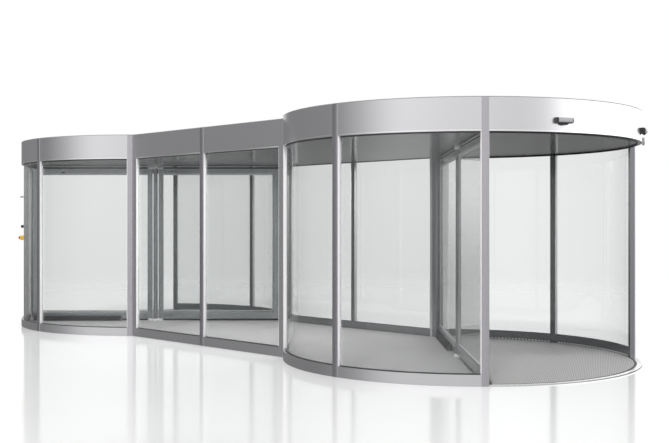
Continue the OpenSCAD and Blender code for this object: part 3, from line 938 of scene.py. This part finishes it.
side_plate = block("side_plate", (drum_r + PLATE_X[0], POST_W / 2, PLATE_Z[0]),
                   (drum_r + PLATE_X[1], POST_W / 2 + PLATE_T, PLATE_Z[1]))
fitted(place(bevelled(side_plate, 0.001), column), white, "structure", "switch_metal")

# ------------------------------------------- pivot castings
# A bright chromed casting at each end of each pole: a hub round the pole with
# rounded arms to the two leaves' pivots, cap screws, and pins into the leaves.
POLE_R = 0.03
POLE_GAP = 0.0002
HUB_R = 0.048
HUB_LAP = 0.006
ARM_R = 0.022
ARM_IN = 0.002
PIVOT_R = 0.076
PIN_R = 0.009
PIN_REACH = 0.03
PIN_LAP = 0.001
CASTING_H = 0.0277
SCREW_R = 0.0045
SCREW_H = 0.003
SCREW_ANGLES = (55, 125)
WING = {"right": -45, "left": -135}
leaf_low, leaf_top = (corner.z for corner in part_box("right_front_leaf_frame"))
casting_low, casting_high = (corner.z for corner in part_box("right_pivot_castings"))
chrome, tree, shader = material("chrome", Metallic=0.35)
polish = noise(tree, (30, 30, 30))
shaded(tree, shader, polish, (0.93, 0.93, 0.94), (0.97, 0.97, 0.98))
shaded(tree, shader, polish, 0.12, 0.2, "Roughness")


def at_leaf(side, way):
    """Turns a piece modelled along +X to a leaf, and stands it at the drum."""
    angle = radians(WING[side] + (0 if way == "front" else 180))
    return Matrix.Translation((centre[side].x, 0, 0)) @ Matrix.Rotation(angle, 4, "Z")


def upright_rod(name, radius, low_z, high_z, x=0.0, y=0.0, vertices=32):
    """A cylinder standing between two heights."""
    rod = start("cylinder", name, vertices=vertices, radius=radius, depth=high_z - low_z)
    return place(rod, Matrix.Translation((x, y, (low_z + high_z) / 2)))


def casting(low, pin_low, pin_high, screws_z, screws_up):
    """One casting with its pins and screws."""
    hub = ring_strip("hub", POLE_R + POLE_GAP, HUB_R, low, low + CASTING_H, 0, 360)
    parts = [bevelled(hub, 0.0025)]
    screw_low, screw_high = sorted((screws_z, screws_z + SCREW_H * screws_up))
    for end in (-1, 1):
        inner, outer = sorted((end * (HUB_R - HUB_LAP), end * PIVOT_R))
        arm = block("arm", (inner, -ARM_R, low + ARM_IN), (outer, ARM_R, low + CASTING_H - ARM_IN))
        boss = upright_rod("boss", ARM_R + 0.002, low, low + CASTING_H, end * PIVOT_R, vertices=48)
        pin = upright_rod("pin", PIN_R, pin_low, pin_high, end * PIVOT_R)
        parts += [bevelled(arm, 0.005, segments=4), bevelled(boss, 0.004, segments=4),
                  bevelled(pin, 0.001, segments=2)]
        for angle in SCREW_ANGLES:
            way = Matrix.Rotation(radians(angle * end), 4, "Z")
            spot = way @ Vector(((POLE_R + HUB_R) / 2, 0, 0))
            screw = upright_rod("screw", SCREW_R, screw_low, screw_high, spot.x, spot.y, 12)
            parts.append(bevelled(screw, 0.0008))
    return parts


for side in SIDES:
    low_parts = casting(casting_low, casting_low + CASTING_H - PIN_LAP, leaf_low + PIN_REACH,
                        casting_low + CASTING_H, 1)
    top = casting_high - CASTING_H
    high_parts = casting(top, leaf_top - PIN_REACH, top + PIN_LAP, top, -1)
    castings = joined(side + "_rotor_castings", low_parts + high_parts)
    fitted(place(castings, at_leaf(side, "front")), chrome, side + "_rotor", "pivot_chrome",
           side + "_pivot_castings")

# ---------------------------------------------- the leaves
# Two leaves on each rotor: aluminium frames with sloping beads round clear
# glass, a light gasket at the glass, and two dark screws at each end of the
# rails near the pivot.
LEAF_IN = 0.044
LEAF_OUT = 1.748
LEAF_T = 0.044
INNER_STILE = 0.064
OUTER_STILE = 0.08
TOP_RAIL = 0.08
BOTTOM_RAIL = 0.107
LEAF_GLASS_T = 0.01
LEAF_TINT = (0.86, 0.872, 0.868)
COATED_IOR = 1.1
BEAD_T = 0.026
LEAF_GASKET = 0.005
RAIL_SCREW_X = (0.145, 0.232)
RAIL_SCREW_R = 0.009
RAIL_SCREW_H = 0.003
LEAVES = [(side, way, f"{side}_{way}_leaf") for side in SIDES for way in WAYS]
leaf_glass = clear_glass("leaf_glass", LEAF_TINT, COATED_IOR)
light_gasket, tree, shader = material("light_gasket", Roughness=0.45)
shaded(tree, shader, noise(tree, (200, 200, 200)), 0.5, 0.56)
dark_rubber = plastic("dark_rubber", (0.028, 0.028, 0.03), (0.016, 0.016, 0.018), 0.6)
x_low, x_high = LEAF_IN + INNER_STILE, LEAF_OUT - OUTER_STILE
z_low, z_high = leaf_low + BOTTOM_RAIL, leaf_top - TOP_RAIL
gaskets, screws = [], []
for way in (-1, 1):
    y_low, y_high = sorted((way * LEAF_GLASS_T / 2, way * (BEAD_T / 2 + 0.001)))
    for low, high in (
            ((x_low, z_low), (x_high, z_low + LEAF_GASKET)),
            ((x_low, z_high - LEAF_GASKET), (x_high, z_high)),
            ((x_low, z_low + LEAF_GASKET), (x_low + LEAF_GASKET, z_high - LEAF_GASKET)),
            ((x_high - LEAF_GASKET, z_low + LEAF_GASKET), (x_high, z_high - LEAF_GASKET))):
        gaskets.append(block("gasket", (low[0], y_low, low[1]), (high[0], y_high, high[1])))
    for rail_z in (leaf_low + 0.04, leaf_top - 0.032):
        for x in RAIL_SCREW_X:
            rod = start("cylinder", "screw", vertices=20, radius=RAIL_SCREW_R, depth=RAIL_SCREW_H)
            spot = Matrix.Translation((x, way * (LEAF_T / 2 + 0.0008), rail_z))
            place(rod, spot @ Matrix.Rotation(radians(90), 4, "X"))
            screws.append(bevelled(rod, 0.0006))
gaskets = bevelled(joined("gasket_pattern", gaskets), GASKET_ROUND, segments=2)
screws = joined("screw_pattern", screws)
for side, way, leaf in LEAVES:
    # Frames and poles take the darker aluminium, a painted shade.
    give(leaf_aluminium_painted_shade, side + "_pole", leaf + "_frame")
    give(leaf_glass, leaf + "_glass")
    leaf_gaskets = copy_of(gaskets, leaf + "_gaskets", at_leaf(side, way))
    fitted(leaf_gaskets, light_gasket, leaf, "seal_rubber")
    leaf_screws = copy_of(screws, leaf + "_screws", at_leaf(side, way))
    fitted(leaf_screws, dark_rubber, leaf, "pivot_chrome")
bpy.data.objects.remove(gaskets)
bpy.data.objects.remove(screws)

# ---------------------------------------------- brush seals
# Along each leaf's bottom, top and outer edge runs an aluminium carrier with a
# row of bristle tufts.
SEAL_IN = 0.11
SEAL_OUT = 1.77
SEAL_LOW, SEAL_HIGH = 0.016, 2.194
CARRIER_H = 0.006
CARRIER_T = 0.02
TUFT_PITCH = 0.0065
TUFT_W = 0.0058
TUFT_T = 0.009
TUFT_THIN = 0.6


def tufts(length, reach):
    """A row of bristle tufts along +X, which hang down from z = 0 and thin out."""
    tuft = block("tuft", (0, -TUFT_T / 2, -reach), (TUFT_W, TUFT_T / 2, 0))

    def thin_out():
        bpy.ops.transform.resize(
            value=(1.0, TUFT_THIN, 1), center_override=(TUFT_W / 2, 0, -reach))

    edit(tuft, "FACE", lambda middle, way: way.z < -0.9, thin_out)
    array = tuft.modifiers.new("row", "ARRAY")
    array.use_relative_offset = False
    array.use_constant_offset = True
    array.constant_offset_displace = (TUFT_PITCH, 0, 0)
    array.count = int(length / TUFT_PITCH)
    bpy.ops.object.modifier_apply(modifier="row")
    return tuft


bristle, tree, shader = material("bristle", Roughness=0.8)
shaded(tree, shader, noise(tree, (1500, 1500, 40)), 0.012, 0.04)
upside_down = Matrix.Diagonal((1, 1, -1, 1))
lower = tufts(SEAL_OUT - SEAL_IN, leaf_low - CARRIER_H - SEAL_LOW)
place(lower, Matrix.Translation((SEAL_IN, 0, leaf_low - CARRIER_H)))
upper_row = tufts(SEAL_OUT - SEAL_IN, SEAL_HIGH - leaf_top - CARRIER_H)
place(upper_row, Matrix.Translation((SEAL_IN, 0, leaf_top + CARRIER_H)) @ upside_down)
edit(upper_row, "FACE", everything, face_outwards)
outer_row = tufts(leaf_top - leaf_low, SEAL_OUT - LEAF_OUT - CARRIER_H)
place(outer_row, Matrix.Translation((LEAF_OUT + CARRIER_H, 0, leaf_top))
      @ Matrix.Rotation(radians(90), 4, "Y") @ upside_down)
edit(outer_row, "FACE", everything, face_outwards)
bristles = joined("bristle_pattern", [lower, upper_row, outer_row])
carriers = [
    block("carrier", (low_x, -CARRIER_T / 2, low_z), (high_x, CARRIER_T / 2, high_z))
    for low_x, high_x, low_z, high_z in (
        (SEAL_IN, LEAF_OUT, leaf_low - CARRIER_H, leaf_low),
        (SEAL_IN, LEAF_OUT, leaf_top, leaf_top + CARRIER_H),
        (LEAF_OUT, LEAF_OUT + CARRIER_H, leaf_low, leaf_top))]
carriers = bevelled(joined("carrier_pattern", carriers), 0.0012, segments=2)
SEAL_PARTS = (("_bristles", bristles, bristle), ("_seal_carriers", carriers, aluminium))
for side, way, leaf in LEAVES:
    for name, part, finish in SEAL_PARTS:
        piece = copy_of(part, leaf + name, at_leaf(side, way))
        fitted(piece, finish, leaf, "seal_rubber", leaf + "_seals")
bpy.data.objects.remove(bristles)
bpy.data.objects.remove(carriers)

# ----------------------- heel guards and the leaves' sensors
# A black rubber wedge with ribs runs along the foot of each leaf's leading face,
# between two grey end caps. A small presence sensor sits on the top rail.
GUARD_IN = 0.48
GUARD_D = 0.048
GUARD_H = 0.066
GUARD_TIP = 0.12
CAP_W = 0.012
CAP_PROUD = 0.001
RIBS = 7
RIB_HALF = 0.0015
LEAF_SENSOR_X = 1.31
LEAF_SENSOR = (0.03, 0.024, 0.0175)
LEAF_LENS_HALF = 0.02
leaf_face = LEAF_T / 2


def wedge(name, low_x, high_x, grow=0.0):
    """A wedge on the leaf's face, deep at its foot."""
    part = block(name, (low_x, leaf_face, SEAL_LOW - grow),
                 (high_x, leaf_face + GUARD_D + grow, SEAL_LOW + GUARD_H + grow))

    def slope_off():
        bpy.ops.transform.resize(
            value=(1, GUARD_TIP, 1), center_override=(low_x, leaf_face, SEAL_LOW + GUARD_H))

    edit(part, "FACE", lambda middle, way: way.z > 0.9, slope_off)
    return bevelled(part, 0.002, segments=2, angle=30)


guard_from, guard_to = GUARD_IN + CAP_W, LEAF_OUT - CAP_W
guard_parts = [wedge("guard", guard_from, guard_to)]
slope = atan2(GUARD_H, GUARD_D * (1 - GUARD_TIP))
for count in range(RIBS):
    share = (count + 0.5) / RIBS
    y = leaf_face + GUARD_D * (1 - share * (1 - GUARD_TIP))
    rib = block("rib", (guard_from, -RIB_HALF, -RIB_HALF), (guard_to, RIB_HALF, RIB_HALF))
    bevelled(rib, 0.0007, segments=2)
    spot = Matrix.Translation((0, y, SEAL_LOW + GUARD_H * share))
    guard_parts.append(place(rib, spot @ Matrix.Rotation(slope, 4, "X")))
guard = joined("guard_pattern", guard_parts)
guard_caps = joined("cap_pattern", [
    wedge("cap", GUARD_IN, guard_from, CAP_PROUD), wedge("cap", guard_to, LEAF_OUT, CAP_PROUD)])
sensor_z = leaf_top - TOP_RAIL / 2
half_x, sensor_d, half_z = LEAF_SENSOR
sensor = block("sensor", (LEAF_SENSOR_X - half_x, leaf_face, sensor_z - half_z),
               (LEAF_SENSOR_X + half_x, leaf_face + sensor_d, sensor_z + half_z))
bevelled(sensor, 0.005, segments=3)
lens = block("lens", (LEAF_SENSOR_X - LEAF_LENS_HALF, leaf_face + 0.018, sensor_z - 0.0185),
             (LEAF_SENSOR_X + LEAF_LENS_HALF, leaf_face + 0.0252, sensor_z + 0.002))
bevelled(lens, 0.001)
cap_grey = plastic("cap_grey", (0.2, 0.2, 0.205), (0.16, 0.16, 0.165), 0.45)
GUARD_PARTS = (
    ("_heel_guard", guard, dark_rubber, "guard_rubber"),
    ("_guard_caps", guard_caps, cap_grey, "guard_rubber"),
    ("_sensor_housing", sensor, cap_grey, "detector_plastic"),
    ("_sensor_lens", lens, dark_plastic, "detector_plastic"),
)
for name, part, finish, slot in GUARD_PARTS:
    for side, way, leaf in LEAVES:
        piece = copy_of(part, leaf + name, at_leaf(side, way))
        fitted(piece, finish, leaf, slot, leaf + "_guard")
    bpy.data.objects.remove(part)
